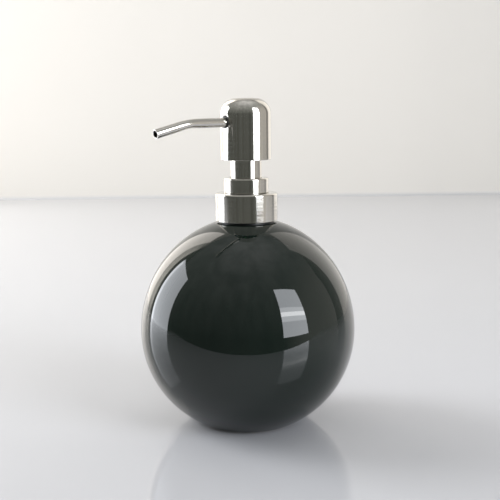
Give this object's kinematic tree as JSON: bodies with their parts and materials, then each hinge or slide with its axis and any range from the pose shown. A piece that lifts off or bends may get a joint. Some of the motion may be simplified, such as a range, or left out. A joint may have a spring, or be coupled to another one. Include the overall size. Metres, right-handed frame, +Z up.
{
  "type": "soap pump dispenser",
  "caption": "Glazed ceramic ball bottle with a polished steel screw pump: domed push button, bent spout, stem sleeve, guide ring and collar over a spring-return pump.",
  "frame": {"origin": "centre of the foot, on the bottle's axis, in the plane that the bottle stands on", "axes": "+Z up along the bottle and pump axis, the spout points along -X at rest, +Y completes the right-handed frame"},
  "size_m": [0.108, 0.108, 0.1622],
  "materials": {
    "glaze": "glossy dark green-black glaze",
    "steel": "mirror-polished stainless steel",
    "white_pp": "moulded polypropylene",
    "tube_pe": "extruded translucent polyethylene",
    "seal_pe": "soft polyethylene",
    "gasket": "foam washer",
    "spring_wire": "drawn wire",
    "valve_ball": "clear glass",
    "black_pp": "moulded black polypropylene"
  },
  "bodies": {
    "bottle": {"bottle_shell": "glaze", "neck_insert": "black_pp"},
    "pump": {"neck_gasket": "gasket", "pump_housing": "white_pp", "guide_collar": "black_pp", "guide_shell": "steel", "ball_retainer": "white_pp", "dip_tube": "tube_pe", "return_spring": "spring_wire"},
    "collar": {"collar_insert": "black_pp", "collar_shell": "steel"},
    "rod": {"piston_rod": "white_pp", "rod_plunger": "white_pp"},
    "piston": {"piston_seal": "seal_pe"},
    "head": {"head_stem": "white_pp", "stem_sleeve": "steel", "button_insert": "white_pp", "button_shell": "steel", "nozzle": "steel", "nozzle_bush": "black_pp"},
    "ball": {"inlet_ball": "valve_ball"}
  },
  "joints": [
    {"name": "collar_turn", "type": "hinge", "parent": "pump", "child": "collar", "pos_m": [0, 0, 0.109], "axis": [0, 0, 1], "range_deg": [0, 480]},
    {"name": "pump_lift", "type": "slide", "parent": "bottle", "child": "pump", "axis": [0, 0, 1], "range_m": [0, 0.00564]},
    {"name": "pump_press", "type": "slide", "parent": "pump", "child": "rod", "axis": [0, 0, 1], "range_m": [-0.014, 0], "stiffness_N_per_m": 600, "springref_m": 0.012, "deforming": ["return_spring"]},
    {"name": "seal_shift", "type": "slide", "parent": "rod", "child": "piston", "axis": [0, 0, 1], "range_m": [0, 0.0012]},
    {"name": "head_swivel", "type": "hinge", "parent": "rod", "child": "head", "pos_m": [0, 0, 0.13], "axis": [0, 0, 1], "continuous": true},
    {"name": "ball_lift", "type": "slide", "parent": "pump", "child": "ball", "axis": [0, 0, 1], "range_m": [0, 0.0015]}
  ],
  "couplings": [
    {"joint": "collar_turn", "follows": "pump_lift", "rad_per_m": 1484.3},
    {"joint": "seal_shift", "follows": "pump_press", "ratio": -0.085714}
  ]
}
